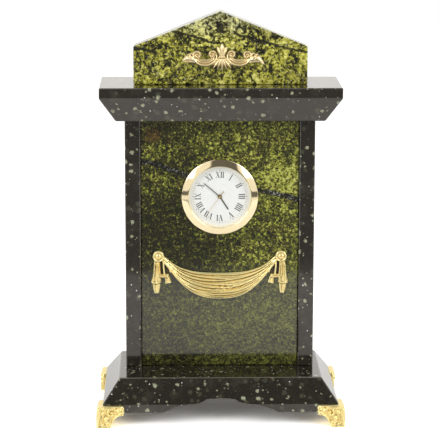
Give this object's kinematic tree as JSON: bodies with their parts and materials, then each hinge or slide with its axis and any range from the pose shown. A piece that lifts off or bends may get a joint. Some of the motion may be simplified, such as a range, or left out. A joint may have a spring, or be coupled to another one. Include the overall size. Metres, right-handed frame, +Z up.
{
  "type": "mantel clock",
  "caption": "Mantel clock of polished stone slabs: splayed arched base on gilt corner feet, slim case with a push-in clock insert and swag, undercut cornice and gable.",
  "frame": {"origin": "middle of the footprint, on the surface that the feet stand on", "axes": "+Z up, front towards -Y, +X to the right as seen from the front"},
  "size_m": [0.1614, 0.095, 0.2662],
  "materials": {
    "dark_stone": "polished dark serpentine with pale green specks",
    "green_stone": "polished moss green serpentine with black veins",
    "gable_stone": "polished yellow green serpentine with black blotches",
    "gilt_castings": "cast relief, gilt, soft sheen",
    "polished_gilt": "turned and polished",
    "plain_steel": "plain",
    "clear_glass": "clear",
    "dial_white": "matt white with dark grey numerals",
    "black_plastic": "moulded, matt",
    "black_rubber": "ribbed",
    "hand_black": "satin black",
    "white_plastic": "moulded",
    "wheel_brass": "cut and plain",
    "rotor_dark": "bonded magnet, dark grey",
    "winding_lacquer": "lacquered copper wire",
    "board_green": "lacquered board",
    "cell_steel": "bright"
  },
  "bodies": {
    "stone_case": {"base_block": "dark_stone", "side_slab_left": "dark_stone", "side_slab_right": "dark_stone", "front_panel": "green_stone", "back_panel": "dark_stone", "cornice": "dark_stone", "pediment": "gable_stone", "foot_front_left": "gilt_castings", "foot_front_right": "gilt_castings", "foot_back_left": "gilt_castings", "foot_back_right": "gilt_castings", "foot_screws": "plain_steel", "swag_ornament": "gilt_castings", "pediment_ornament": "gilt_castings"},
    "insert": {"bezel": "polished_gilt", "lens": "clear_glass", "dial_ring": "polished_gilt", "dial": "dial_white", "housing": "black_plastic", "gasket": "black_rubber", "case_back": "black_plastic", "front_plate": "white_plastic", "train_plate": "white_plastic", "back_plate": "white_plastic", "plate_screws": "plain_steel", "stator": "plain_steel", "coil_core": "plain_steel", "coil_winding": "winding_lacquer", "circuit_board": "board_green", "quartz_crystal": "plain_steel", "chip": "black_plastic", "button_cell": "cell_steel", "cell_contact_positive": "cell_steel", "cell_contact_negative": "cell_steel"},
    "cell_cover": {"battery_cover": "black_plastic"},
    "minute_group": {"cannon_pinion": "wheel_brass", "minute_hand": "hand_black"},
    "hour_group": {"hour_wheel": "white_plastic", "hour_hand": "hand_black"},
    "setting_group": {"setting_arbor": "wheel_brass", "setting_knob": "black_plastic"},
    "centre": {"centre_wheel": "wheel_brass"},
    "third": {"third_wheel": "white_plastic"},
    "second_group": {"seconds_wheel": "wheel_brass", "second_hand": "polished_gilt"},
    "fifth": {"fifth_wheel": "white_plastic"},
    "rotor_body": {"rotor": "rotor_dark"}
  },
  "joints": [
    {"name": "insert_pull", "type": "slide", "parent": "stone_case", "child": "insert", "axis": [0, -1, 0], "range_m": [0, 0.03]},
    {"name": "cell_cover_turn", "type": "hinge", "parent": "insert", "child": "cell_cover", "pos_m": [-0.00404, 0.0068, 0.13281], "axis": [0, 1, 0], "range_deg": [0, 50]},
    {"name": "minute_hand_turn", "type": "hinge", "parent": "insert", "child": "minute_group", "pos_m": [0, -0.004, 0.1439], "axis": [0, 1, 0], "continuous": true},
    {"name": "hour_hand_turn", "type": "hinge", "parent": "insert", "child": "hour_group", "pos_m": [0, -0.004, 0.1439], "axis": [0, 1, 0], "continuous": true},
    {"name": "setting_knob_turn", "type": "hinge", "parent": "insert", "child": "setting_group", "pos_m": [0, 0.008, 0.15014], "axis": [0, 1, 0], "continuous": true},
    {"name": "second_hand_turn", "type": "hinge", "parent": "insert", "child": "second_group", "pos_m": [0, -0.004, 0.1439], "axis": [0, 1, 0], "continuous": true},
    {"name": "centre_wheel_turn", "type": "hinge", "parent": "insert", "child": "centre", "pos_m": [0, 0.001, 0.1439], "axis": [0, 1, 0], "continuous": true},
    {"name": "third_wheel_turn", "type": "hinge", "parent": "insert", "child": "third", "pos_m": [0.0053, 0.002, 0.14084], "axis": [0, 1, 0], "continuous": true},
    {"name": "fifth_wheel_turn", "type": "hinge", "parent": "insert", "child": "fifth", "pos_m": [-0.00592, 0.003, 0.14605], "axis": [0, 1, 0], "continuous": true},
    {"name": "rotor_turn", "type": "hinge", "parent": "insert", "child": "rotor_body", "pos_m": [-0.0093, 0.003, 0.14729], "axis": [0, 1, 0], "continuous": true}
  ],
  "couplings": [
    {"joint": "hour_hand_turn", "follows": "minute_hand_turn", "ratio": 0.083333},
    {"joint": "setting_knob_turn", "follows": "minute_hand_turn", "ratio": -0.33333},
    {"joint": "centre_wheel_turn", "follows": "second_hand_turn", "ratio": 0.016667},
    {"joint": "third_wheel_turn", "follows": "second_hand_turn", "ratio": -0.13333},
    {"joint": "fifth_wheel_turn", "follows": "second_hand_turn", "ratio": -6},
    {"joint": "rotor_turn", "follows": "second_hand_turn", "ratio": 30}
  ]
}
